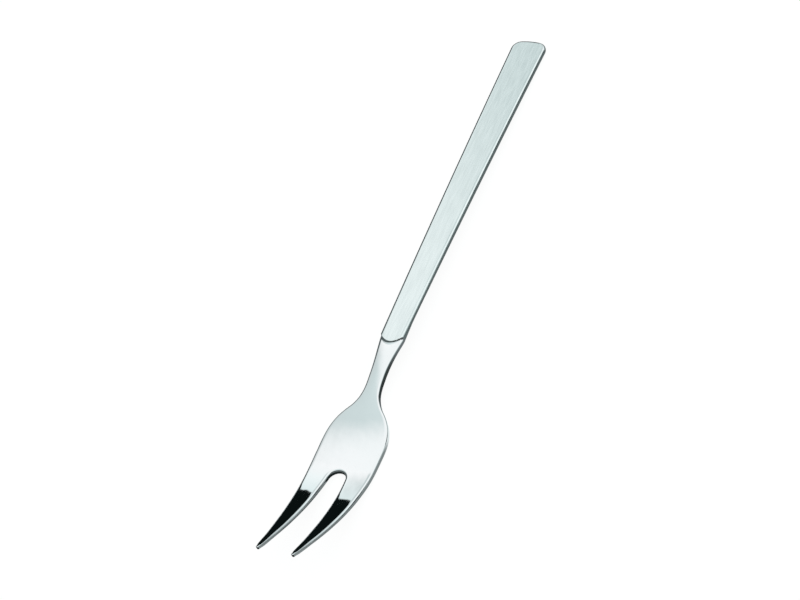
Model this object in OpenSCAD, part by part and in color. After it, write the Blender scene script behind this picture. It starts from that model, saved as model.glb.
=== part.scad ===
// Meat fork: one piece of stainless steel with a matte flat handle, a step down
// to a polished neck, a shallow bowl and two tines that sweep up.
// The fork lies on its back, as it rests on a table: it touches the table under
// the far end of the handle and under the bowl. Tines towards -Y, up is +Z.
// The shape is one loft. Its plan outline and its side profile are drawn in the
// handle's own plane, where s runs from the far end of the handle to the tips.

/* [Handle] */
// Length from the far end to the middle of the step
handle_l = 122.4; // [100:0.2:150]
// Width at the far end
handle_end_w = 12.1; // [9:0.1:16]
// Width at the step
handle_step_w = 7.8; // [5.5:0.1:9]
// Thickness
handle_t = 2; // [1.6:0.1:4]
// Rise of the middle of the handle above its two ends
handle_arch = 0.55; // [0:0.05:2]
// Radius of the two corners at the far end
end_corner_r = 3.4; // [1:0.1:4]
// How far the middle of the far end stands out beyond its corners
end_bulge = 0.25; // [0:0.05:1]
// Radius of the handle's polished edges
handle_edge_r = 0.85; // [0.2:0.05:0.9]

/* [Step] */
// Height of the matte handle's face above the neck
step_h = 0.65; // [0.2:0.05:1]
// How far the middle of the step's arc lies beyond its two ends
step_bulge = 1.5; // [0.5:0.1:2]
// Length of the step's sloping wall
step_run = 0.25; // [0.1:0.05:0.6]
// Length before the step over which the underside swells to the neck's thickness
swell_l = 10; // [5:1:50]

/* [Neck] */
// Distance from the middle of the step to the waist
waist_l = 11; // [8:0.5:18]
// Width at the waist
waist_w = 4.9; // [4:0.1:7]
// Inward slope of each side where it leaves the step
neck_taper = 0.14; // [0:0.01:0.25]
// Thickness at the step
root_t = 2.1; // [1.4:0.05:3]
// Thickness at the waist
neck_t = 2.5; // [1.4:0.1:3]
// Distance from the middle of the step to the steepest point of the drop
throat_l = 20.4; // [15:0.1:25]
// Depth of that point's top below the handle's plane
throat_depth = 4.2; // [3:0.1:6]
// Downward slope at that point
throat_slope = 0.32; // [0.2:0.01:0.45]
// Crown of the neck's top across its width at the step
root_crown = 0.1; // [0:0.05:0.3]
// Crown of the neck's top across its width at the waist
neck_crown = 0.15; // [0:0.05:0.4]

/* [Head] */
// Distance from the waist to the steepest point of the shoulders
shoulder_l = 10.7; // [8:0.1:14]
// Width at that point
shoulder_w = 11.5; // [9:0.1:14]
// Outward slope of each side at that point
shoulder_flare = 1; // [0.6:0.05:1.3]
// Distance from that point to the widest point
widest_l = 15.6; // [12:0.1:20]
// Width at the widest point
head_w = 20.7; // [17:0.1:26]
// Distance from the middle of the step to the bowl's lowest point
bowl_l = 40.5; // [36:0.1:50]
// Depth of the bowl's top below the handle's plane
bowl_depth = 6.4; // [5:0.1:9]
// Thickness of the bowl
bowl_t = 2.05; // [1.2:0.05:2.6]
// Crown of the bowl's top across its width
bowl_crown = 0.1; // [0:0.05:0.4]
// Radius of the edges of the neck, the head and the tips
edge_r = 0.6; // [0.25:0.05:0.8]

/* [Tines] */
// Largest radius of the tines' edges
tine_edge_r = 0.95; // [0.3:0.05:1]
// Distance from the middle of the step to the slot's closed end
slot_l = 42.6; // [38:0.1:50]
// Length of the tines, from the slot's closed end to the tips
tine_l = 36; // [28:0.1:50]
// Width of the slot where its round end meets its sides
slot_root_w = 5.7; // [4:0.1:8]
// Clear width between the two tips
slot_tip_w = 10.5; // [7:0.1:12]
// Outward slope of each side of the slot where its round end meets it
slot_flare = 0.07; // [0.04:0.01:0.14]
// Outward slope of each side of the slot at the tips
slot_tip_flare = 0.1; // [0.02:0.01:0.12]
// Width of a tine's tip
tip_w = 0.9; // [0.7:0.1:1.6]
// Thickness of a tine's tip
tip_t = 1.3; // [0.8:0.1:1.8]
// Inward slope of a tine's outer side at its tip
tip_taper = 0.17; // [0.02:0.01:0.2]
// Height of the tips above the handle's plane
tip_rise = 7.5; // [2:0.1:12]
// Upward slope of the tines at their tips
tip_slope = 0.58; // [0.4:0.01:0.75]

/* [Smoothness] */
// Spacing of the sections along the head and the tines
fine_spacing = 1.3; // [1:0.1:3]
// Spacing of the sections along the handle
coarse_spacing = 14; // [5:1:30]
// Faces across each half of the width
half_columns = 5; // [3:1:6]
// Faces round each quarter of an edge
edge_faces = 3; // [2:1:4]

/* [Hidden] */

steel = [0.80, 0.82, 0.83];

// Places along s
waist_s = handle_l + waist_l;
shoulder_s = waist_s + shoulder_l;
widest_s = shoulder_s + widest_l;
throat_s = handle_l + throat_l;
bowl_s = handle_l + bowl_l;
slot_s = handle_l + slot_l;
total_l = slot_s + tine_l;
step_end_s = handle_l - step_bulge;
step_half_w = handle_step_w / 2 - handle_edge_r;
step_rise = step_bulge * (pow(handle_step_w / 2 / step_half_w, 2) - 1);
wall_start_s = step_end_s - step_rise - step_run;
wall_end_s = step_end_s + step_run;
slot_root_r = slot_root_w / 2;
slot_side_s = slot_s + slot_root_r;
tip_r = tip_w / 2;
tip_s = total_l - tip_r;
throat_t = (neck_t + bowl_t) / 2;

// Each curve is a list of stations: [place along s, value, slope]
taper_slope = (handle_step_w - handle_end_w) / 2 / step_end_s;
handle_side = [
    [0, handle_end_w / 2, taper_slope],
    [step_end_s, handle_step_w / 2, taper_slope]
];
head_side = [
    [step_end_s, handle_step_w / 2, -neck_taper],
    [waist_s, waist_w / 2, 0],
    [shoulder_s, shoulder_w / 2, shoulder_flare],
    [widest_s, head_w / 2, 0],
    [total_l, slot_tip_w / 2 + tip_w, -tip_taper]
];
slot_side = [
    [slot_side_s, slot_root_r, slot_flare],
    [total_l, slot_tip_w / 2, slot_tip_flare]
];
arch_slope = 4 * handle_arch / handle_l;
top_profile = [
    [0, -step_h, arch_slope],
    [handle_l / 2, handle_arch - step_h, 0],
    [handle_l, -step_h, -arch_slope],
    [throat_s, -throat_depth, -throat_slope],
    [bowl_s, -bowl_depth, 0],
    [total_l, tip_rise, tip_slope]
];
blank_thickness = [
    [0, handle_t - step_h, 0],
    [handle_l - swell_l, handle_t - step_h, 0],
    [handle_l, root_t, 0],
    [waist_s, neck_t, 0],
    [throat_s, throat_t, (bowl_t - neck_t) / bowl_l],
    [bowl_s, bowl_t, (tip_t - bowl_t) / (total_l - bowl_s)],
    [total_l, tip_t, (tip_t - bowl_t) / (total_l - bowl_s)]
];
top_crown = [
    [0, 0, 0],
    [handle_l - swell_l, 0, 0],
    [handle_l, root_crown, 0],
    [waist_s, neck_crown, 0],
    [bowl_s, bowl_crown, 0],
    [slot_side_s + tine_l / 3, 0, 0],
    [total_l, 0, 0]
];
edge_radius = [
    [0, handle_edge_r, 0],
    [step_end_s, handle_edge_r, 0],
    [waist_s, edge_r, 0],
    [bowl_s, edge_r, 0],
    [slot_side_s + tine_l / 4, tine_edge_r, 0],
    [total_l, edge_r, 0]
];

// Cubic curve between two stations, at fraction t of the way
function blend(a, b, t) =
    let (span = b[0] - a[0], t2 = t * t, t3 = t2 * t)
    (2 * t3 - 3 * t2 + 1) * a[1] + (t3 - 2 * t2 + t) * span * a[2]
    + (3 * t2 - 2 * t3) * b[1] + (t3 - t2) * span * b[2];

// Value at s of the smooth curve through the stations
function curve(stations, s, i = 0) =
    i < len(stations) - 2 && s > stations[i + 1][0]
        ? curve(stations, s, i + 1)
        : blend(stations[i], stations[i + 1],
                (s - stations[i][0]) / (stations[i + 1][0] - stations[i][0]));

// Half of the plan width at s
function half_width(s) = curve(s < step_end_s ? handle_side : head_side, s);

// Places from a to b, at most gap apart, without a itself
function places(a, b, gap) =
    let (n = max(1, ceil((b - a) / gap)))
    [for (i = [1 : n]) a + (b - a) * i / n];

// Evenly spaced numbers from 0 to 1
function fractions(n) = [for (i = [0 : n]) i / n];

// Faces round a far corner, down the step's wall, round each half of the slot's
// closed end and round each side of a tip
corner_steps = 6;
wall_steps = 3;
root_steps = 7;
tip_steps = 4;

// Angle through which each side of a tip turns before its blunt end
tip_turn = 75;

// Outer side of one half, from the end of the far edge to the tip: [x, s]
corner_end_s = end_bulge + end_corner_r;
corner_side = [
    for (f = fractions(corner_steps))
        let (s = end_bulge + end_corner_r * (1 - cos(90 * f)))
        [half_width(s) - end_corner_r * (1 - sin(90 * f)), s]
];
body_places = concat(
    places(corner_end_s, wall_start_s, coarse_spacing),
    places(wall_start_s, step_end_s, step_run),
    places(step_end_s, wall_end_s, step_run / wall_steps),
    places(wall_end_s, slot_s, fine_spacing)
);
root_places = [for (f = fractions(root_steps)) if (f > 0) slot_s + slot_root_r * f];
tine_places = places(slot_side_s, tip_s, fine_spacing);
outer_side = concat(
    corner_side,
    [for (s = concat(body_places, root_places, tine_places)) [half_width(s), s]],
    [for (f = fractions(tip_steps)) if (f > 0)
        let (s = tip_s + tip_r * sin(tip_turn * f))
        [half_width(s) - tip_r * (1 - cos(tip_turn * f)), s]]
);

// Side of the slot in one half, from its closed end to the tip
root_row = corner_steps + len(body_places);
inner_side = concat(
    [for (f = fractions(root_steps))
        [slot_root_r * sin(90 * f), slot_s + slot_root_r * (1 - cos(90 * f))]],
    [for (s = tine_places) [curve(slot_side, s), s]],
    [for (f = fractions(tip_steps)) if (f > 0)
        let (s = tip_s + tip_r * sin(tip_turn * f))
        [curve(slot_side, s) + tip_r * (1 - cos(tip_turn * f)), s]]
);
last_row = len(outer_side) - 1;

// Rim of one half: along the far edge, down the outer side, across the tip and
// back up the slot to its closed end
function far_edge(f) = [f * outer_side[0][0], end_bulge * f * f];
function tip_edge(f) = (1 - f) * inner_side[last_row - root_row] + f * outer_side[last_row];
rim = concat(
    [for (j = [0 : half_columns - 1]) far_edge(j / half_columns)],
    outer_side,
    [for (j = [half_columns - 1 : -1 : 1]) tip_edge(j / half_columns)],
    [for (i = [last_row - root_row : -1 : 0]) inner_side[i]]
);
rim_last = len(rim) - 1;

// Unit vector
function unit(v) = v / norm(v);

// Direction from the rim into the metal at rim point k
function mirrored(p) = [-p[0], p[1]];
function rim_inward(k) =
    let (
        before = k == 0 ? mirrored(rim[1]) : rim[k - 1],
        after = k == rim_last ? mirrored(rim[k - 1]) : rim[k + 1],
        along = unit(after - before)
    )
    [-along[1], along[0]];

// Side-profile values at the plan point p. The top of the step's wall follows an
// arc across the width, which runs on over the rounded edges.
function across(p) = p[0] / half_width(p[1]);
function step_arc_s(p) = step_end_s + step_bulge * (1 - pow(p[0] / step_half_w, 2));
function ramp(f) = let (g = min(1, max(0, f))) g * g * (3 - 2 * g);
function raised(p) = step_h * (1 - ramp((p[1] - step_arc_s(p)) / step_run));
function top_z(p) = curve(top_profile, p[1]) + raised(p)
    + curve(top_crown, p[1]) * (1 - pow(across(p), 2));
function bottom_z(p) = curve(top_profile, p[1]) - curve(blank_thickness, p[1]);

// Radius of the rounded edge at rim point k. It takes no more than a share of the
// thickness, and of half a tine's width.
thickness_share = 0.48;
width_share = 0.77;
function rim_radius(k) =
    let (
        s = min(rim[k][1], tip_s),
        thickness = top_z(rim[k]) - bottom_z(rim[k]),
        half_tine = s > slot_side_s ? (half_width(s) - curve(slot_side, s)) / 2 : half_width(s)
    )
    min(curve(edge_radius, s), thickness_share * thickness, width_share * half_tine);

// Rim moved in by the edge radius: the border of the top and bottom faces
rim_in = [for (k = [0 : rim_last]) rim[k] + rim_radius(k) * rim_inward(k)];

// Rim points where row i meets the outer side, and the slot
function outer_k(i) = half_columns + i;
function inner_k(i) = rim_last - (i - root_row);

// How far the middle of row i is bowed towards the tips, to follow the far edge
// and the step
function row_bow(i) =
    let (s = rim[outer_k(i)][1])
    s < corner_end_s ? end_bulge * (s - corner_end_s) / end_corner_r
    : s > step_end_s - coarse_spacing && s < waist_s
        ? step_bulge * (s <= step_end_s
            ? ramp((s - step_end_s + coarse_spacing) / coarse_spacing)
            : s <= wall_end_s ? 1 : ramp((waist_s - s) / (waist_s - step_end_s)))
    : 0;

// Plan point of row i, column j: on the border, on a bowed row from the centre
// line to the outer side, or on a straight row across a tine
function face_point(i, j) =
    let (
        f = j / half_columns,
        outer = rim_in[outer_k(i)],
        inner = rim_in[inner_k(max(i, root_row))]
    )
    i == 0 ? rim_in[j]
    : i == last_row ? rim_in[inner_k(i) - j]
    : i < root_row ? [f * outer[0], outer[1] + row_bow(i) * (1 - f * f)]
    : inner + f * (outer - inner);

function on_top(p) = [p[0], p[1], top_z(p)];
function on_bottom(p) = [p[0], p[1], bottom_z(p)];

// Points round the edge at rim point k, from below the top face to above the
// bottom face
edge_angles = [for (i = [1 : edge_faces]) 90 * i / edge_faces];
edge_count = 2 * edge_faces;
function edge_place(k, angle) = rim_in[k] - rim_radius(k) * sin(angle) * rim_inward(k);
function edge_drop(k, angle) = rim_radius(k) * (1 - cos(angle));
function upper_edge(k, angle) =
    let (p = edge_place(k, angle))
    [p[0], p[1], top_z(p) - edge_drop(k, angle)];
function lower_edge(k, angle) =
    let (p = edge_place(k, angle))
    [p[0], p[1], bottom_z(rim_in[k]) + edge_drop(k, angle)];
function edge_points(k) = concat(
    [for (a = edge_angles) upper_edge(k, a)],
    [for (i = [edge_faces - 1 : -1 : 0]) lower_edge(k, edge_angles[i])]
);

// Points of one half: top face, bottom face, edge
face_count = (last_row + 1) * (half_columns + 1);
rim_count = rim_last + 1;
half_count = 2 * face_count + rim_count * edge_count;
face_points = [for (i = [0 : last_row]) for (j = [0 : half_columns]) face_point(i, j)];
half_points = concat(
    [for (p = face_points) on_top(p)],
    [for (p = face_points) on_bottom(p)],
    [for (k = [0 : rim_last]) each edge_points(k)]
);
// The handle's end is at y = 0 and the tips point to -Y
function placed(p, side) = [side * p[0], -p[1], p[2]];
points = concat(
    [for (p = half_points) placed(p, 1)],
    [for (p = half_points) placed(p, -1)]
);

// Index of a point. The halves share the points on the centre line.
function shared(side, centred) = side > 0 || centred ? 0 : half_count;
function top_id(side, i, j) =
    shared(side, j == 0 && i <= root_row) + i * (half_columns + 1) + j;
function bottom_id(side, i, j) = top_id(side, i, j) + face_count;
function edge_id(side, k, e) =
    e == 0 ? rim_top_id(side, k)
    : e == edge_count + 1 ? rim_top_id(side, k) + face_count
    : shared(side, k == 0 || k == rim_last) + 2 * face_count + k * edge_count + e - 1;
function rim_top_id(side, k) =
    k < half_columns ? top_id(side, 0, k)
    : k <= outer_k(last_row) ? top_id(side, k - half_columns, half_columns)
    : k < inner_k(last_row) ? top_id(side, last_row, inner_k(last_row) - k)
    : top_id(side, root_row + rim_last - k, 0);

// A four-sided patch as two triangles, turned over on the mirrored half
function patch(side, a, b, c, d) =
    side > 0 ? [[a, b, c], [a, c, d]] : [[c, b, a], [d, c, a]];
faces = [
    for (side = [1, -1]) each concat(
        [for (i = [0 : last_row - 1]) for (j = [0 : half_columns - 1])
            each patch(side, top_id(side, i, j), top_id(side, i, j + 1),
                       top_id(side, i + 1, j + 1), top_id(side, i + 1, j))],
        [for (i = [0 : last_row - 1]) for (j = [0 : half_columns - 1])
            each patch(side, bottom_id(side, i, j), bottom_id(side, i + 1, j),
                       bottom_id(side, i + 1, j + 1), bottom_id(side, i, j + 1))],
        [for (k = [0 : rim_last - 1]) for (e = [0 : edge_count])
            each patch(side, edge_id(side, k, e), edge_id(side, k, e + 1),
                       edge_id(side, k + 1, e + 1), edge_id(side, k + 1, e))]
    )
];

// Resting attitude: the fork tips about the far end of its handle until the
// bowl touches the table too
tail_z = bottom_z([0, 0]);
rest_tilt = max([for (p = points) if (-p[1] > handle_l) atan2(tail_z - p[2], -p[1])]);
function rested(p) = [
    p[0],
    p[1] * cos(rest_tilt) + p[2] * sin(rest_tilt),
    p[2] * cos(rest_tilt) - p[1] * sin(rest_tilt)
];
rested_points = [for (p = points) rested(p)];
low_z = min([for (p = rested_points) p[2]]);
front_y = min([for (p = rested_points) p[1]]);
back_y = max([for (p = rested_points) p[1]]);
middle_y = (front_y + back_y) / 2;

module meat_fork() {
    color(steel)
        translate([0, -middle_y, -low_z])
            polyhedron(points = rested_points, faces = faces, convexity = 6);
}

meat_fork();
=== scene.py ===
"""A meat fork forged from one piece of stainless steel, lying on a pale studio floor.

The fork is one loft, drawn from a plan outline and a side profile in the handle's own
plane. Its handle is brushed matte with its sides, and the edge at the handle's far end,
the neck, the bowl and the tines are polished.
"""

import logging
import math
from collections.abc import Callable
from dataclasses import dataclass, field
from enum import Enum
from typing import Any

import bmesh
import bpy
import numpy as np
from mathutils import Matrix, Vector


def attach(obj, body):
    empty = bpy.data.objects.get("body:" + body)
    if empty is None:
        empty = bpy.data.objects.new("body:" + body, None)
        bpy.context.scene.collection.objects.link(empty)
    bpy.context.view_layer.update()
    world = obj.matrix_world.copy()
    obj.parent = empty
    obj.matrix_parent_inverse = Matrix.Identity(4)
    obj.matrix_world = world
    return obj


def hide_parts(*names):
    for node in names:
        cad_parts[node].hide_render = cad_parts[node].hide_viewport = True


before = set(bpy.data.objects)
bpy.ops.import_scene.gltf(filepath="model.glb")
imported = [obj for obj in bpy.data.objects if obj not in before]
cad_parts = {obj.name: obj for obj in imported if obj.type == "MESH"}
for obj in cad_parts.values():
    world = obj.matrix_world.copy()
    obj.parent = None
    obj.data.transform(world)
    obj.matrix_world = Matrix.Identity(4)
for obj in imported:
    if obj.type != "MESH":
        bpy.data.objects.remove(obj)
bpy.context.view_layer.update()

MM = 0.001
# Most of a noise pattern's values lie between these.
NOISE_LOW, NOISE_HIGH = 0.3, 0.7
# How near the centre line a point lies on it, and how near two points are one, in metres.
ON_CENTRE = 1e-9
WELD_GAP = 1e-8
# The colour sockets of a Mix node, which have their names in common with others.
MIX_FACTOR, MIX_FIRST, MIX_SECOND, MIX_RESULT = 0, 6, 7, 2

Range = tuple[float, float]
Point = tuple[float, float]
Triple = tuple[float, float, float]
Box = tuple[Triple, Triple]
Face = tuple[int, ...]
Tones = tuple[tuple[float, str], ...]

log = logging.getLogger("meat_fork")


def linear(hex_colour: str) -> tuple[float, float, float, float]:
    """Turn an sRGB hex colour into linear light.

    Args:
        hex_colour: Six hex digits after a hash sign.

    Returns:
        Linear red, green, blue and an alpha of 1.
    """
    # The sRGB curve is a straight line in the dark and a power above it.
    parts = [int(hex_colour[i : i + 2], 16) / 255 for i in (1, 3, 5)]
    red, green, blue = (
        p / 12.92 if p <= 0.04045 else ((p + 0.055) / 1.055) ** 2.4 for p in parts
    )
    return red, green, blue, 1.0


def add_node(
    tree: bpy.types.NodeTree,
    kind: str,
    settings: dict[str, object] | None = None,
    inputs: dict[str | int, object] | None = None,
) -> bpy.types.Node:
    """Add one shader node with its settings, its constants and its links.

    Args:
        tree: The node tree that takes the node.
        kind: Blender's name of the node type.
        settings: Attributes of the node, by name.
        inputs: Values of the sockets by name or number. An output socket is linked.

    Returns:
        The new node.
    """
    node = tree.nodes.new(kind)
    for name, value in (settings or {}).items():
        setattr(node, name, value)
    for name, value in (inputs or {}).items():
        if isinstance(value, bpy.types.NodeSocket):
            tree.links.new(value, node.inputs[name])
        else:
            node.inputs[name].default_value = value
    return node


def new_steel(
    name: str, colour: str
) -> tuple[bpy.types.Material, bpy.types.NodeTree, bpy.types.Node]:
    """Start a steel material.

    Args:
        name: The material's name.
        colour: Its sRGB hex colour.

    Returns:
        The material, its node tree and its shader.
    """
    material = bpy.data.materials.new(name)
    material.use_nodes = True
    shader = material.node_tree.nodes["Principled BSDF"]
    shader.inputs["Base Color"].default_value = linear(colour)
    shader.inputs["Metallic"].default_value = 1.0
    return material, material.node_tree, shader


def grain(tree: bpy.types.NodeTree, size_mm: Triple) -> bpy.types.NodeSocket:
    """Add a soft noise pattern in the fork's own axes.

    Args:
        tree: The node tree that takes the nodes.
        size_mm: Real size of the grain across, along and up, in millimetres.

    Returns:
        The pattern, mostly between NOISE_LOW and NOISE_HIGH.
    """
    place = add_node(tree, "ShaderNodeTexCoord")
    scale = [1 / (size * MM) for size in size_mm]
    sized = add_node(
        tree, "ShaderNodeMapping", inputs={"Vector": place.outputs["Object"], "Scale": scale}
    )
    noise = add_node(
        tree,
        "ShaderNodeTexNoise",
        inputs={"Vector": sized.outputs[0], "Scale": 1.0, "Detail": 1.0},
    )
    return noise.outputs[0]


def soft_mask(
    tree: bpy.types.NodeTree, *fades: tuple[bpy.types.NodeSocket, Range]
) -> bpy.types.NodeSocket:
    """Make a mask from soft borders, multiplied together.

    Args:
        tree: The node tree that takes the nodes.
        fades: The value that each border follows, with where it is 0 and where it is 1.

    Returns:
        The mask, from 0 to 1.
    """
    mask: bpy.types.NodeSocket | float = 1.0
    for value, (none, full) in fades:
        start, stop = (0.0, 1.0) if none < full else (1.0, 0.0)
        fade = add_node(
            tree,
            "ShaderNodeMapRange",
            {"interpolation_type": "SMOOTHSTEP"},
            {
                "Value": value,
                "From Min": min(none, full),
                "From Max": max(none, full),
                "To Min": start,
                "To Max": stop,
            },
        )
        product = add_node(
            tree, "ShaderNodeMath", {"operation": "MULTIPLY"}, {0: mask, 1: fade.outputs[0]}
        )
        mask = product.outputs[0]
    return mask


def toned(
    tree: bpy.types.NodeTree,
    value: bpy.types.NodeSocket,
    tones: Tones,
    ends: Range = (0.0, 1.0),
) -> bpy.types.NodeSocket:
    """Colour a value through a few tones.

    Args:
        tree: The node tree that takes the nodes.
        value: The value.
        tones: Place from 0 to 1 and sRGB hex colour of each tone, in order.
        ends: The values at places 0 and 1.

    Returns:
        The colour.
    """
    place = add_node(
        tree,
        "ShaderNodeMapRange",
        inputs={"Value": value, "From Min": ends[0], "From Max": ends[1]},
    )
    blend = add_node(tree, "ShaderNodeValToRGB", inputs={"Fac": place.outputs[0]})
    stops = blend.color_ramp.elements
    while len(stops) < len(tones):
        stops.new(1.0)
    for stop, (spot, tone) in zip(stops, tones):
        stop.position = spot
        stop.color = linear(tone)
    return blend.outputs[0]


class Finish(Enum):
    """The two surface finishes of the fork, in the order of its material slots."""

    POLISHED = 0
    BRUSHED = 1


class Ray(Enum):
    """Kinds of light path that a thing in the studio can be hidden from."""

    CAMERA = "visible_camera"
    DIFFUSE = "visible_diffuse"
    GLOSSY = "visible_glossy"
    TRANSMISSION = "visible_transmission"
    SHADOW = "visible_shadow"


@dataclass(frozen=True)
class PolishedSteel:
    """Stainless steel, ground and buffed to a mirror.

    The eye sees a clear reflection, a little soft and uneven, as of a forged and
    hand-buffed surface: straight borders in it come out slightly wavy.
    """

    colour: str = "#D4D4D5"
    roughness: Range = (0.03, 0.05)
    haze_mm: float = 1.2
    ripple_mm: float = 4.0
    ripple_height_mm: float = 0.03

    def material(self) -> bpy.types.Material:
        """Build the material.

        Returns:
            The polished steel.
        """
        material, tree, shader = new_steel("polished_stainless_steel", self.colour)
        # Haze of the buffing wheel, in patches about a millimetre across.
        haze = add_node(
            tree,
            "ShaderNodeMapRange",
            inputs={
                "Value": grain(tree, (self.haze_mm, self.haze_mm, self.haze_mm)),
                "From Min": NOISE_LOW,
                "From Max": NOISE_HIGH,
                "To Min": self.roughness[0],
                "To Max": self.roughness[1],
            },
        )
        tree.links.new(haze.outputs[0], shader.inputs["Roughness"])
        # Hand-buffed steel is never quite flat. Its swells are a few millimetres long
        # and about a hundredth high, and they bend the edges of what it mirrors.
        swell = grain(tree, (self.ripple_mm, self.ripple_mm, self.ripple_mm))
        bump = add_node(
            tree,
            "ShaderNodeBump",
            inputs={"Distance": self.ripple_height_mm * MM, "Height": swell},
        )
        tree.links.new(bump.outputs[0], shader.inputs["Normal"])
        return material


@dataclass(frozen=True)
class BrushedSteel:
    """Stainless steel, brushed along the handle with a fine abrasive belt.

    The eye sees an even, silky grey with faint, short streaks along the handle.
    """

    colour: str = "#C8CECE"
    light_colour: str = "#D3D8D8"
    roughness: Range = (0.165, 0.195)
    streak_mm: Triple = (0.6, 8.0, 0.4)

    def material(self) -> bpy.types.Material:
        """Build the material.

        Returns:
            The brushed steel.
        """
        material, tree, shader = new_steel("brushed_stainless_steel", self.colour)
        # The belt's real scratches are about 0.05 mm wide. They are drawn 0.6 mm wide,
        # as one pixel of the photograph covers 0.3 mm and finer ones would blur away.
        streak = grain(tree, self.streak_mm)
        share = add_node(
            tree,
            "ShaderNodeMapRange",
            inputs={"Value": streak, "From Min": NOISE_LOW, "From Max": NOISE_HIGH},
        )
        tone = add_node(
            tree,
            "ShaderNodeMix",
            {"data_type": "RGBA"},
            {
                MIX_FACTOR: share.outputs[0],
                MIX_FIRST: linear(self.colour),
                MIX_SECOND: linear(self.light_colour),
            },
        )
        tree.links.new(tone.outputs[MIX_RESULT], shader.inputs["Base Color"])
        rough = add_node(
            tree,
            "ShaderNodeMapRange",
            inputs={
                "Value": share.outputs[0],
                "To Min": self.roughness[0],
                "To Max": self.roughness[1],
            },
        )
        tree.links.new(rough.outputs[0], shader.inputs["Roughness"])
        return material


@dataclass(frozen=True)
class GlowingWhite:
    """Matte white sheet lit from behind, such as opal acrylic or studio paper.

    The eye sees an even white without gloss or shading, on a card under its tones.
    """

    name: str
    albedo: float
    glow: float
    colour: str = "#FFFFFF"

    def material(self) -> bpy.types.Material:
        """Build the material.

        Returns:
            The glowing white.
        """
        material = bpy.data.materials.new(self.name)
        material.use_nodes = True
        shader = material.node_tree.nodes["Principled BSDF"]
        white = linear(self.colour)
        shader.inputs["Base Color"].default_value = [c * self.albedo for c in white[:3]] + [1.0]
        shader.inputs["Roughness"].default_value = 1.0
        shader.inputs["Specular IOR Level"].default_value = 0.0
        shader.inputs["Emission Color"].default_value = white
        shader.inputs["Emission Strength"].default_value = self.glow
        return material


class Curve:
    """A smooth cubic curve through a few stations along the fork."""

    def __init__(self, *stations: Triple) -> None:
        """Take the stations.

        Args:
            stations: Place along the fork, value there and slope there, in order.
        """
        self.places: np.ndarray
        self.values: np.ndarray
        self.slopes: np.ndarray
        self.places, self.values, self.slopes = np.array(stations, float).T

    def __call__(self, s: np.ndarray | float) -> np.ndarray:
        """Give the curve's value.

        Args:
            s: Places along the fork, in millimetres.

        Returns:
            The value at each place.
        """
        s = np.asarray(s, float)
        i = np.searchsorted(self.places[1:-1], s, side="left")
        span = self.places[i + 1] - self.places[i]
        t = (s - self.places[i]) / span
        start = (2 * t**3 - 3 * t**2 + 1) * self.values[i]
        start += (t**3 - 2 * t**2 + t) * span * self.slopes[i]
        end = (3 * t**2 - 2 * t**3) * self.values[i + 1]
        end += (t**3 - t**2) * span * self.slopes[i + 1]
        return start + end


def ramp(f: np.ndarray | float) -> np.ndarray:
    """Ease from 0 to 1 as f goes from 0 to 1.

    Args:
        f: Fractions, also outside 0 to 1.

    Returns:
        The eased fractions.
    """
    g = np.clip(f, 0, 1)
    return g * g * (3 - 2 * g)


def places(start: float, end: float, gap: float) -> list[float]:
    """Space places evenly, leaving out the first.

    Args:
        start: Where the stretch starts.
        end: Where it ends.
        gap: The widest gap allowed.

    Returns:
        The places after start, up to end.
    """
    count = max(1, math.ceil((end - start) / gap))
    return [start + (end - start) * i / count for i in range(1, count + 1)]


def derived() -> Any:
    """Mark a field that is worked out from the others."""
    return field(init=False, repr=False)


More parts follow.
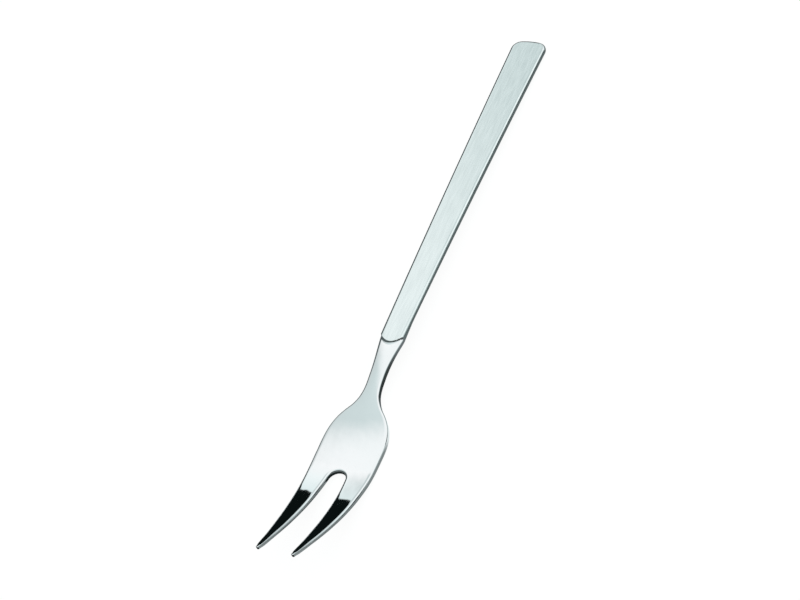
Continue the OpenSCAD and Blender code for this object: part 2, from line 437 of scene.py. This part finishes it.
@dataclass
class MeatFork:
    """The whole fork, with its sizes in millimetres.

    Places along the fork, whose names end in _s, are measured in the handle's plane,
    from the far end of the handle towards the tips.
    """

    # The handle and the step at its foot.
    handle_l: float = 122.4
    handle_end_w: float = 12.1
    handle_step_w: float = 7.8
    handle_t: float = 2.0
    handle_arch: float = 0.55
    end_corner_r: float = 3.4
    end_bulge: float = 0.25
    handle_edge_r: float = 0.85
    step_h: float = 0.65
    step_bulge: float = 1.5
    step_run: float = 0.25
    # The neck, where the steel thickens, narrows and drops.
    swell_l: float = 10.0
    waist_l: float = 11.0
    waist_w: float = 4.9
    neck_taper: float = 0.14
    neck_t: float = 2.5
    root_t: float = 2.1
    throat_l: float = 20.4
    throat_depth: float = 4.2
    throat_slope: float = 0.32
    root_crown: float = 0.1
    neck_crown: float = 0.15
    # The bowl and its rounded edge.
    shoulder_l: float = 10.7
    shoulder_w: float = 11.5
    shoulder_flare: float = 1.0
    widest_l: float = 15.6
    head_w: float = 20.7
    bowl_l: float = 40.5
    bowl_depth: float = 6.4
    bowl_t: float = 2.05
    bowl_crown: float = 0.1
    edge_r: float = 0.6
    # The slot and the tines.
    slot_l: float = 42.6
    tine_l: float = 36.0
    slot_root_w: float = 5.7
    slot_tip_w: float = 10.5
    slot_flare: float = 0.07
    slot_tip_flare: float = 0.1
    tip_w: float = 0.9
    tip_t: float = 1.3
    tip_taper: float = 0.17
    tip_rise: float = 7.5
    tip_slope: float = 0.58
    tine_edge_r: float = 0.95
    # Shares of a tine's length: where its edge is roundest and where its crown ends.
    roundest: float = 1 / 4
    crown_end: float = 1 / 3
    # Near the points the edge is drawn sharper than in the part's source, as in the
    # photograph: how far from the end that starts and is sharpest, and its radius there.
    point_run: float = 8.0
    point_l: float = 1.5
    point_edge_r: float = 0.2

    # Spacing of the mesh, and how finely it turns at corners, slot and tips.
    fine_spacing: float = 0.5
    coarse_spacing: float = 3.0
    half_columns: int = 14
    edge_faces: int = 7
    corner_steps: int = 16
    wall_steps: int = 8
    root_steps: int = 16
    tip_steps: int = 8
    tip_turn: float = math.radians(75)
    # How far before the slot the rows start to bend round it.
    slot_clear: float = 4.0
    # The most of the steel's thickness and of its half width that the rounding takes.
    thickness_share: float = 0.48
    width_share: float = 0.77

    waist_s: float = derived()
    slot_s: float = derived()
    slot_side_s: float = derived()
    slot_root_r: float = derived()
    total_l: float = derived()
    step_end_s: float = derived()
    step_half_w: float = derived()
    step_rise: float = derived()
    corner_lean: float = derived()
    corner_end_s: float = derived()
    tip_r: float = derived()
    tip_s: float = derived()
    handle_side: Curve = derived()
    head_side: Curve = derived()
    slot_side: Curve = derived()
    top_profile: Curve = derived()
    blank_thickness: Curve = derived()
    top_crown: Curve = derived()
    edge_radius: Curve = derived()
    rim: np.ndarray = derived()
    rim_in: np.ndarray = derived()
    rim_r: np.ndarray = derived()
    inward: np.ndarray = derived()
    root_row: int = derived()
    last_row: int = derived()

    def __post_init__(self) -> None:
        """Work out the derived places and the curves."""
        self.waist_s = self.handle_l + self.waist_l
        self.slot_s = self.handle_l + self.slot_l
        self.total_l = self.slot_s + self.tine_l
        self.step_end_s = self.handle_l - self.step_bulge
        half_step = self.handle_step_w / 2
        self.step_half_w = half_step - self.handle_edge_r
        self.step_rise = self.step_bulge * ((half_step / self.step_half_w) ** 2 - 1)
        # The far end is a shallow bow, and its corners start where it leans that much.
        corner_w = self.handle_end_w / 2 - self.end_corner_r
        self.corner_lean = math.atan(2 * self.end_bulge / (corner_w + self.end_bulge))
        self.corner_end_s = self.end_bulge + self.end_corner_r * math.cos(self.corner_lean)
        self.slot_root_r = self.slot_root_w / 2
        self.slot_side_s = self.slot_s + self.slot_root_r
        self.tip_r = self.tip_w / 2
        self.tip_s = self.total_l - self.tip_r
        self._draw_plan_curves()
        self._draw_side_curves()

    def _draw_plan_curves(self) -> None:
        """Draw the plan outline: the outer sides and the slot's sides."""
        shoulder_s = self.waist_s + self.shoulder_l
        widest_s = shoulder_s + self.widest_l
        half_end, half_step = self.handle_end_w / 2, self.handle_step_w / 2
        taper = (half_step - half_end) / self.step_end_s
        tip_outer = self.slot_tip_w / 2 + self.tip_w
        self.handle_side = Curve(
            (0, half_end, taper),
            (self.step_end_s, half_step, taper),
        )
        self.head_side = Curve(
            (self.step_end_s, half_step, -self.neck_taper),
            (self.waist_s, self.waist_w / 2, 0),
            (shoulder_s, self.shoulder_w / 2, self.shoulder_flare),
            (widest_s, self.head_w / 2, 0),
            (self.total_l, tip_outer, -self.tip_taper),
        )
        self.slot_side = Curve(
            (self.slot_side_s, self.slot_root_r, self.slot_flare),
            (self.total_l, self.slot_tip_w / 2, self.slot_tip_flare),
        )

    def _draw_side_curves(self) -> None:
        """Draw the side profile: height, thickness, crown and edge radius."""
        handle_l, total_l = self.handle_l, self.total_l
        throat_s, bowl_s = handle_l + self.throat_l, handle_l + self.bowl_l
        # A parabola's ends are four times as steep as its height over its length.
        arch_slope = 4 * self.handle_arch / handle_l
        self.top_profile = Curve(
            (0, -self.step_h, arch_slope),
            (handle_l / 2, self.handle_arch - self.step_h, 0),
            (handle_l, -self.step_h, -arch_slope),
            (throat_s, -self.throat_depth, -self.throat_slope),
            (bowl_s, -self.bowl_depth, 0),
            (total_l, self.tip_rise, self.tip_slope),
        )
        blank_t = self.handle_t - self.step_h
        throat_t = (self.neck_t + self.bowl_t) / 2
        neck_thinning = (self.bowl_t - self.neck_t) / self.bowl_l
        thinning = (self.tip_t - self.bowl_t) / (total_l - bowl_s)
        self.blank_thickness = Curve(
            (0, blank_t, 0),
            (handle_l - self.swell_l, blank_t, 0),
            (handle_l, self.root_t, 0),
            (self.waist_s, self.neck_t, 0),
            (throat_s, throat_t, neck_thinning),
            (bowl_s, self.bowl_t, thinning),
            (total_l, self.tip_t, thinning),
        )
        self.top_crown = Curve(
            (0, 0, 0),
            (handle_l - self.swell_l, 0, 0),
            (handle_l, self.root_crown, 0),
            (self.waist_s, self.neck_crown, 0),
            (bowl_s, self.bowl_crown, 0),
            (self.slot_side_s + self.tine_l * self.crown_end, 0, 0),
            (total_l, 0, 0),
        )
        self.edge_radius = Curve(
            (0, self.handle_edge_r, 0),
            (self.step_end_s, self.handle_edge_r, 0),
            (self.waist_s, self.edge_r, 0),
            (bowl_s, self.edge_r, 0),
            (self.slot_side_s + self.tine_l * self.roundest, self.tine_edge_r, 0),
            (total_l - self.point_run, self.edge_r, 0),
            (total_l - self.point_l, self.point_edge_r, 0),
            (self.tip_s, self.edge_r, 0),
        )

    def half_width(self, s: np.ndarray | float) -> np.ndarray:
        """Give half of the plan width at each place s."""
        return np.where(np.asarray(s) < self.step_end_s, self.handle_side(s), self.head_side(s))

    def step_arc_s(self, x: np.ndarray) -> np.ndarray:
        """Give the place of the step's arc at each distance x from the centre line."""
        return self.step_end_s + self.step_bulge * (1 - (x / self.step_half_w) ** 2)

    def top_z(self, p: np.ndarray) -> np.ndarray:
        """Give the height of the upper face.

        Args:
            p: Plan points, distance from the centre line and place along the fork.

        Returns:
            The height at each point.
        """
        x, s = p[..., 0], p[..., 1]
        raised = self.step_h * (1 - ramp((s - self.step_arc_s(x)) / self.step_run))
        crown = self.top_crown(s) * (1 - (x / self.half_width(s)) ** 2)
        return self.top_profile(s) + raised + crown

    def bottom_z(self, p: np.ndarray) -> np.ndarray:
        """Give the height of the underside at each plan point p."""
        s = p[..., 1]
        return self.top_profile(s) - self.blank_thickness(s)

    def _tip_arc(self, side: Callable[[float], np.ndarray], sign: int) -> list[Point]:
        """Round one side of a tip.

        Args:
            side: The curve of that side.
            sign: 1 where the tip lies inside of the side, -1 where it lies outside.

        Returns:
            Plan points from the side towards the blunt end.
        """
        r = self.tip_r
        turns = [self.tip_turn * i / self.tip_steps for i in range(1, self.tip_steps + 1)]
        spots = [(self.tip_s + r * math.sin(a), r * (1 - math.cos(a))) for a in turns]
        return [(float(side(s)) - sign * inset, s) for s, inset in spots]

    def _trace_outline(self) -> None:
        """Trace the rim of one half: far edge, outer side, tip and slot."""
        corner = np.linspace(self.corner_lean, math.pi / 2, self.corner_steps + 1)
        r = self.end_corner_r
        spots = [(self.corner_end_s - r * math.cos(a), r * (1 - math.sin(a))) for a in corner]
        corner_side = [(float(self.half_width(s)) - inset, s) for s, inset in spots]
        # Close rows draw the step's wall. They lie half as close where its arc falls back
        # towards the sides.
        wall_start = self.step_end_s - self.step_rise - self.step_run
        wall_gap = self.step_run / self.wall_steps
        wall = places(wall_start, self.step_end_s, 2 * wall_gap)
        wall += places(self.step_end_s, self.step_end_s + self.step_run, wall_gap)
        body = places(self.corner_end_s, wall_start, self.coarse_spacing)
        body += wall + places(wall[-1], self.slot_s, self.fine_spacing)
        turns = [math.pi / 2 * i / self.root_steps for i in range(self.root_steps + 1)]
        root = [self.slot_s + self.slot_root_r * (1 - math.cos(a)) for a in turns]
        tine = places(self.slot_side_s, self.tip_s, self.fine_spacing)
        outer = corner_side + [(float(self.half_width(s)), s) for s in body + root[1:] + tine]
        outer += self._tip_arc(self.half_width, 1)
        inner = [(self.slot_root_r * math.sin(a), s) for a, s in zip(turns, root)]
        inner += [(float(self.slot_side(s)), s) for s in tine]
        inner += self._tip_arc(self.slot_side, -1)
        self.root_row = len(corner_side) + len(body) - 1
        self.last_row = len(outer) - 1
        n = self.half_columns
        far = [(outer[0][0] * j / n, self.end_bulge * (j / n) ** 2) for j in range(n)]
        tip_in, tip_out = np.array(inner[-1]), np.array(outer[-1])
        tip = [tip_in + (tip_out - tip_in) * j / n for j in range(n - 1, 0, -1)]
        self.rim = np.array([*far, *outer, *tip, *reversed(inner)])

    def _inset_rim(self) -> None:
        """Move the rim in by the edge radius, to the border of the two faces."""
        mirror = np.array([-1, 1])
        padded = np.vstack([self.rim[1] * mirror, self.rim, self.rim[-2] * mirror])
        along = padded[2:] - padded[:-2]
        along /= np.linalg.norm(along, axis=1)[:, None]
        self.inward = np.column_stack([-along[:, 1], along[:, 0]])
        s = np.minimum(self.rim[:, 1], self.tip_s)
        half_tine = (self.half_width(s) - self.slot_side(s)) / 2
        room = np.where(s > self.slot_side_s, half_tine, self.half_width(s))
        share = self.thickness_share * (self.top_z(self.rim) - self.bottom_z(self.rim))
        self.rim_r = np.minimum(np.minimum(self.edge_radius(s), share), self.width_share * room)
        self.rim_in = self.rim + self.rim_r[:, None] * self.inward
        self._untangle()
        self.inward = (self.rim_in - self.rim) / self.rim_r[:, None]

    def _untangle(self) -> None:
        """Keep the moved rim in order at the sharp turns of the outline."""
        n, tip = self.half_columns, self.half_columns + self.last_row
        side = slice(n, tip + 1)
        self.rim_in[side, 1] = np.maximum.accumulate(self.rim_in[side, 1])
        across = np.linspace(0, 1, n + 1)[:, None]
        ends = self.rim_in[tip], self.rim_in[tip + n]
        self.rim_in[tip : tip + n + 1] = ends[0] + across * (ends[1] - ends[0])

    def _row_bow(self, s: float) -> float:
        """Give how far the middle of a row is bowed towards the tips.

        Args:
            s: Place of the row's outer end.

        Returns:
            The bow, below 0 where the middle lies behind the row's outer end.
        """
        if s < self.corner_end_s:
            return self.end_bulge * (s - self.corner_end_s) / self.end_corner_r
        near_slot = (s - self.slot_s) / self.slot_clear + 1
        if near_slot > 0:
            return -self.edge_r * near_slot
        start = self.step_end_s - self.waist_l
        if s <= start or s >= self.waist_s:
            return 0.0
        if s <= self.step_end_s:
            return self.step_bulge * float(ramp((s - start) / self.waist_l))
        after = (self.waist_s - s) / (self.waist_s - self.step_end_s - self.step_run)
        return self.step_bulge * float(ramp(after))

    def _face_grid(self) -> np.ndarray:
        """Lay a grid of plan points over one half.

        Returns:
            Plan points by row and column, the border among them.
        """
        n, last = self.half_columns, self.last_row
        f = np.linspace(0, 1, n + 1)[:, None]
        grid = np.zeros((last + 1, n + 1, 2))
        grid[0] = self.rim_in[: n + 1]
        for i in range(1, last):
            outer = self.rim_in[n + i]
            if i < self.root_row:
                bow = self._row_bow(self.rim[n + i][1])
                grid[i] = np.hstack([f * outer[0], outer[1] + bow * (1 - f * f)])
            else:
                inner = self.rim_in[len(self.rim) - 1 - (i - self.root_row)]
                grid[i] = inner + np.hstack([f, f * f]) * (outer - inner)
        inner_k = len(self.rim) - 1 - (last - self.root_row)
        grid[last] = self.rim_in[inner_k : inner_k - n - 1 : -1]
        return grid

    def _rim_ids(self) -> np.ndarray:
        """Find the inset rim in the grid.

        Returns:
            The grid index of each point of the inset rim.
        """
        n, last = self.half_columns, self.last_row
        stride = n + 1
        far = list(range(n))
        outer = [i * stride + n for i in range(last + 1)]
        tip = [last * stride + j for j in range(n - 1, 0, -1)]
        slot = [i * stride for i in range(last, self.root_row - 1, -1)]
        return np.array(far + outer + tip + slot)

    def _edge_rings(self) -> np.ndarray:
        """Lay the rounded edge round the rim of one half.

        Returns:
            Points by place round the rim and by place down the edge.
        """
        angles = np.arange(1, self.edge_faces + 1) * math.pi / 2 / self.edge_faces
        bottom = self.bottom_z(self.rim_in)
        rings = []
        for a in angles:
            p = self.rim_in - (self.rim_r * math.sin(a))[:, None] * self.inward
            rings.append(np.column_stack([p, self.top_z(p) - self.rim_r * (1 - math.cos(a))]))
        for a in angles[::-1]:
            p = self.rim_in - (self.rim_r * math.sin(a))[:, None] * self.inward
            rings.append(np.column_stack([p, bottom + self.rim_r * (1 - math.cos(a))]))
        return np.stack(rings, axis=1)

    def _half(self) -> tuple[np.ndarray, list[Face], list[int]]:
        """Build one half of the fork.

        Returns:
            Its points, its four-sided faces and the finish of each face.
        """
        self._trace_outline()
        self._inset_rim()
        grid = self._face_grid()
        rows, stride = grid.shape[0], grid.shape[1]
        flat = grid.reshape(-1, 2)
        top = np.column_stack([flat, self.top_z(flat)])
        bottom = np.column_stack([flat, self.bottom_z(flat)])
        rings = self._edge_rings()
        points = np.vstack([top, bottom, rings.reshape(-1, 3)])
        faces: list[Face] = []
        for i in range(rows - 1):
            for j in range(stride - 1):
                a = i * stride + j
                quad = (a, a + 1, a + 1 + stride, a + stride)
                faces.append(quad)
                faces.append(tuple(v + len(flat) for v in reversed(quad)))
        border = self._rim_ids()
        down = rings.shape[1]
        first = 2 * len(flat) + np.arange(len(border)) * down
        lines = np.column_stack([border, first[:, None] + np.arange(down), border + len(flat)])
        for k in range(len(border) - 1):
            for e in range(down + 1):
                quad = (lines[k, e], lines[k, e + 1], lines[k + 1, e + 1], lines[k + 1, e])
                faces.append(tuple(int(v) for v in quad))
        centres = points[np.array(faces)].mean(1)
        on_edge = np.arange(len(centres)) >= 2 * (rows - 1) * (stride - 1)
        brushed = centres[:, 1] < self.step_arc_s(centres[:, 0])
        brushed &= ~(on_edge & (centres[:, 1] < self.corner_end_s))
        finishes = np.where(brushed, Finish.BRUSHED.value, Finish.POLISHED.value)
        return points, faces, finishes.tolist()

    def _rest(self, points: np.ndarray) -> np.ndarray:
        """Lay the fork down: it tips about its far end until the bowl touches too.

        Args:
            points: Points in the handle's frame, in millimetres.

        Returns:
            The points in the part's frame, in metres.
        """
        tail_z = float(self.bottom_z(np.zeros(2)))
        beyond = points[points[:, 1] > self.handle_l]
        tilt = float(np.max(np.arctan2(tail_z - beyond[:, 2], beyond[:, 1])))
        c, n = math.cos(tilt), math.sin(tilt)
        x, y, z = points[:, 0], -points[:, 1], points[:, 2]
        laid = np.column_stack([x, y * c + z * n, z * c - y * n])
        low, high = laid.min(0), laid.max(0)
        laid -= [0, (low[1] + high[1]) / 2, low[2]]
        return laid * MM

    def build(self) -> bpy.types.Object:
        """Build the fork's mesh with its two finishes.

        Returns:
            The fork, in the part's frame.
        """
        half, faces, finishes = self._half()
        points = np.vstack([half, half * [-1, 1, 1]])
        mirrored = [tuple(v + len(half) for v in reversed(face)) for face in faces]
        mesh = bpy.data.meshes.new("fork_steel")
        mesh.from_pydata(self._rest(points).tolist(), [], faces + mirrored)
        mesh.polygons.foreach_set("material_index", finishes + finishes)
        mesh.polygons.foreach_set("use_smooth", [True] * len(mesh.polygons))
        self._weld(mesh)
        fork = bpy.data.objects.new("fork_steel", mesh)
        bpy.context.scene.collection.objects.link(fork)
        return fork

    def _weld(self, mesh: bpy.types.Mesh) -> None:
        """Join the two halves along the centre line.

        Args:
            mesh: The fork's mesh.
        """
        made = bmesh.new()
        made.from_mesh(mesh)
        middle = [v for v in made.verts if abs(v.co.x) < ON_CENTRE]
        bmesh.ops.remove_doubles(made, verts=middle, dist=WELD_GAP)
        bmesh.ops.recalc_face_normals(made, faces=made.faces)
        made.to_mesh(mesh)
        made.free()

    def dress(self, fork: bpy.types.Object) -> None:
        """Give the fork its two finishes.

        Args:
            fork: The fork's object.
        """
        steels = {Finish.POLISHED: PolishedSteel(), Finish.BRUSHED: BrushedSteel()}
        for finish in Finish:
            fork.data.materials.append(steels[finish].material())


@dataclass
class Studio:
    """The light table that the fork lies on, and the soft light round it.

    The light comes from all round, and its tones are what the steel mirrors. A border in
    it is given by x, y or z of a step of length 1 in its direction, and the softbox's by
    how far that step goes along softbox_facing: first where the softbox, flag or fade is
    absent, then where it is whole.
    """

    table_m: float = 4.0
    table_glow: float = 0.93
    table_albedo: float = 0.1
    backdrop_m: float = 3.0
    dome_segments: int = 48
    dome_rings: int = 24
    strength: float = 1.5
    # A large softbox behind the far end. Its tones go by height, and it dims towards the
    # left.
    softbox_facing: Triple = (0.6, 1.0, 0.8)
    softbox_edge: Range = (0.56, 0.8)
    softbox_tones: Tones = (
        (0.15, "#A4B0B0"),
        (0.3, "#C4D0D0"),
        (0.45, "#E2F0F0"),
        (0.6, "#F0F8F8"),
        (0.67, "#F4F8F8"),
        (0.73, "#F8FBFB"),
        (0.8, "#F3F8F8"),
        (1.0, "#F0F5F5"),
    )
    softbox_fade: Range = (0.82, 0.94)
    softbox_fade_x: Range = (0.0, -0.2)
    softbox_fade_y: Range = (0.46, 0.54)
    softbox_far_tone: str = "#C2CECE"
    # The rest of the room, by height.
    room_tones: Tones = (
        (0.42, "#141818"),
        (0.5, "#323838"),
        (0.6, "#6E7676"),
        (0.68, "#A0AAAA"),
        (0.76, "#C8D2D2"),
        (0.86, "#CBD9D9"),
        (0.92, "#D0DEDE"),
        (1.0, "#DCE6E6"),
    )
    # A dark flag stands low round the left and the tips' side, and the tines mirror its
    # far end. It has a gap straight behind the fork and ends on the right. Its tones go
    # from the tips' side to the handle's.
    flag_top: Range = (0.455, 0.441)
    flag_tones: Tones = ((0.71, "#4E5858"), (0.79, "#141A1A"), (0.81, "#0A1010"))
    flag_end_x: Range = (0.0, 0.35)
    flag_end_y: Range = (0.52, 0.44)
    flag_gap_x: Range = (-0.42, -0.3)
    flag_gap_y: Range = (0.6, 0.75)
    # What lies below, from the tips' side to the handle's.
    ground_tones: Tones = (
        (0.2, "#262C2C"),
        (0.63, "#3A4242"),
        (0.745, "#6E7878"),
        (0.83, "#D2DCDC"),
    )
    below: Range = (-0.3, -0.5)
    # Cards that the steel mirrors in place of the table. The grey one gives the sides and
    # the neck their bands, and the small one the inner walls of the slot.
    card_tones: Tones = (
        (0.0, "#141818"),
        (0.235, "#141818"),
        (0.2388, "#9CA4A4"),
        (0.255, "#8A9292"),
        (0.275, "#707878"),
        (0.3, "#6A7272"),
        (0.32, "#788080"),
        (0.345, "#7C8484"),
        (0.365, "#7A8282"),
        (0.3738, "#D8E0E0"),
        (0.3925, "#D8E0E0"),
        (0.4, "#50585A"),
        (0.415, "#2A3030"),
        (0.4325, "#3A4040"),
        (0.45, "#6A7274"),
        (0.475, "#5A6262"),
        (0.79, "#626A6A"),
        (0.81, "#101414"),
        (1.0, "#101414"),
    )
    card_box: Box = ((-0.2, -0.2, -0.0003), (0.2, 0.2, -0.0003))
    slot_card_tones: Tones = (
        (0.0, "#8A9292"),
        (0.25, "#525A5A"),
        (0.65, "#5A6262"),
        (0.84, "#7C8484"),
        (0.86, "#1E2424"),
        (1.0, "#1E2424"),
    )
    slot_card_box: Box = ((-0.006, -0.0935, -0.0002), (0.0045, -0.0635, -0.0002))

    def build(self) -> None:
        """Build the table, the backdrop and the surroundings."""
        self._table()
        self._card("grey_card", self.card_box, self.card_tones)
        self._card("slot_card", self.slot_card_box, self.slot_card_tones)
        self._backdrop()
        self._surroundings()

    def _sheet(self, name: str, box: Box) -> bpy.types.Mesh:
        """Make a flat sheet.

        Args:
            name: Name of the mesh.
            box: Its lowest and highest corners, in metres.

        Returns:
            The sheet's mesh.
        """
        (x0, y0, z), (x1, y1, _) = box
        mesh = bpy.data.meshes.new(name)
        corners = [(x0, y0, z), (x1, y0, z), (x1, y1, z), (x0, y1, z)]
        mesh.from_pydata(corners, [], [(0, 1, 2, 3)])
        return mesh

    def _put(
        self, mesh: bpy.types.Mesh, material: bpy.types.Material, *hidden_from: Ray
    ) -> bpy.types.Object:
        """Put a thing in the studio.

        Args:
            mesh: Its mesh, which gives it its name.
            material: Its material.
            hidden_from: The kinds of light path that don't meet it.

        Returns:
            The thing.
        """
        mesh.materials.append(material)
        thing = bpy.data.objects.new(mesh.name, mesh)
        bpy.context.scene.collection.objects.link(thing)
        for ray in hidden_from:
            setattr(thing, ray.value, False)
        log.info("%s: %s", thing.name, material.name)
        return thing

    def _table(self) -> None:
        """Lay the glowing acrylic table, which the steel doesn't mirror."""
        half = self.table_m / 2
        mesh = self._sheet("light_table", ((-half, -half, 0), (half, half, 0)))
        acrylic = GlowingWhite("opal_acrylic", self.table_albedo, self.table_glow)
        table = self._put(mesh, acrylic.material(), Ray.GLOSSY)

    def _card(self, name: str, box: Box, tones: Tones) -> None:
        """Lay a card, seen by the steel alone, in place of the table.

        Args:
            name: Name of the card.
            box: Its lowest and highest corners, in metres.
            tones: Its tones along the fork, from the tips' side to the handle's.
        """
        material = GlowingWhite(name + "_paper", 0.0, self.strength).material()
        tree = material.node_tree
        place = add_node(tree, "ShaderNodeTexCoord")
        axes = add_node(tree, "ShaderNodeSeparateXYZ", inputs={0: place.outputs["Object"]})
        tone = toned(tree, axes.outputs[1], tones, (box[0][1], box[1][1]))
        tree.links.new(tone, tree.nodes["Principled BSDF"].inputs["Emission Color"])
        hidden_from = Ray.CAMERA, Ray.DIFFUSE, Ray.TRANSMISSION, Ray.SHADOW
        card = self._put(self._sheet(name, box), material, *hidden_from)

    def _backdrop(self) -> None:
        """Put a white dome behind everything, for the camera alone."""
        mesh = bpy.data.meshes.new("backdrop")
        made = bmesh.new()
        bmesh.ops.create_uvsphere(
            made,
            u_segments=self.dome_segments,
            v_segments=self.dome_rings,
            radius=self.backdrop_m,
        )
        made.to_mesh(mesh)
        made.free()
        paper = GlowingWhite("backdrop_paper", 0.0, 1.0)
        hidden_from = Ray.DIFFUSE, Ray.GLOSSY, Ray.TRANSMISSION, Ray.SHADOW
        backdrop = self._put(mesh, paper.material(), *hidden_from)

    def _surroundings(self) -> None:
        """Light the scene from a softbox behind, a grey room and a dark flag."""
        world = bpy.data.worlds.new("studio")
        bpy.context.scene.world = world
        world.use_nodes = True
        tree = world.node_tree
        way = add_node(tree, "ShaderNodeTexCoord").outputs["Generated"]
        x, y, z = add_node(tree, "ShaderNodeSeparateXYZ", inputs={0: way}).outputs
        facing = add_node(
            tree,
            "ShaderNodeVectorMath",
            {"operation": "DOT_PRODUCT"},
            {0: way, 1: self.softbox_facing},
        )
        side = facing.outputs["Value"]
        in_softbox = soft_mask(tree, (side, self.softbox_edge))
        in_fade = soft_mask(
            tree, (side, self.softbox_fade), (x, self.softbox_fade_x), (y, self.softbox_fade_y)
        )
        gap = soft_mask(tree, (x, self.flag_gap_x), (y, self.flag_gap_y))
        past_end = soft_mask(tree, (x, self.flag_end_x), (y, self.flag_end_y))
        outside = (1.0, 0.0)
        in_flag = soft_mask(tree, (z, self.flag_top), (gap, outside), (past_end, outside))
        across = (-1.0, 1.0)
        layers = (
            (in_softbox, toned(tree, z, self.softbox_tones)),
            (in_fade, linear(self.softbox_far_tone)),
            (in_flag, toned(tree, y, self.flag_tones, across)),
            (soft_mask(tree, (z, self.below)), toned(tree, y, self.ground_tones, across)),
        )
        whole = toned(tree, z, self.room_tones)
        for mask, tone in layers:
            layer = add_node(
                tree,
                "ShaderNodeMix",
                {"data_type": "RGBA"},
                {MIX_FACTOR: mask, MIX_FIRST: whole, MIX_SECOND: tone},
            )
            whole = layer.outputs[MIX_RESULT]
        background = tree.nodes["Background"]
        tree.links.new(whole, background.inputs["Color"])
        background.inputs["Strength"].default_value = self.strength
        log.info("studio: %d layers of light", len(layers) + 1)


@dataclass
class StudioCamera:
    """The camera, placed by its aim, distance and angles.

    The azimuth turns it from the tips' side towards the right, the elevation lifts it
    above the table, and the roll turns the picture. Angles are in degrees.
    """

    aim_mm: Triple = (-4.66, -4.965, 3.0)
    distance_mm: float = 665.9
    azimuth: float = 44.592
    elevation: float = 49.6936
    roll: float = -28.192
    lens_mm: float = 99.0
    sensor_mm: float = 36.0
    clip_m: Range = (0.01, 20.0)

    def build(self) -> None:
        """Build the camera and make it the scene's own."""
        data = bpy.data.cameras.new("camera")
        data.lens = self.lens_mm
        data.sensor_width = self.sensor_mm
        data.clip_start, data.clip_end = self.clip_m
        camera = bpy.data.objects.new("camera", data)
        a, e = math.radians(self.azimuth), math.radians(self.elevation)
        back = Vector((math.sin(a) * math.cos(e), -math.cos(a) * math.cos(e), math.sin(e)))
        level = Vector((math.cos(a), math.sin(a), 0))
        turned = Matrix.Rotation(math.radians(self.roll), 3, back)
        right = turned @ level
        up = back.cross(right)
        place = Vector(self.aim_mm) * MM + back * self.distance_mm * MM
        axes = Matrix((right, up, back)).transposed().to_4x4()
        camera.matrix_world = Matrix.Translation(place) @ axes
        bpy.context.scene.collection.objects.link(camera)
        bpy.context.scene.camera = camera
        log.info("camera: %g mm lens, %g mm away", self.lens_mm, self.distance_mm)


def main() -> None:
    """Build the fork, its studio and the camera."""
    logging.basicConfig(level=logging.INFO, format="%(name)s: %(message)s")
    StudioCamera().build()
    maker = MeatFork()
    fork = maker.build()
    maker.dress(fork)
    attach(fork, "root")
    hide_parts("meat_fork")
    log.info("fork_steel: %d faces", len(fork.data.polygons))
    Studio().build()
    bpy.context.scene.view_settings.view_transform = "Standard"


if __name__ == "__main__":
    main()
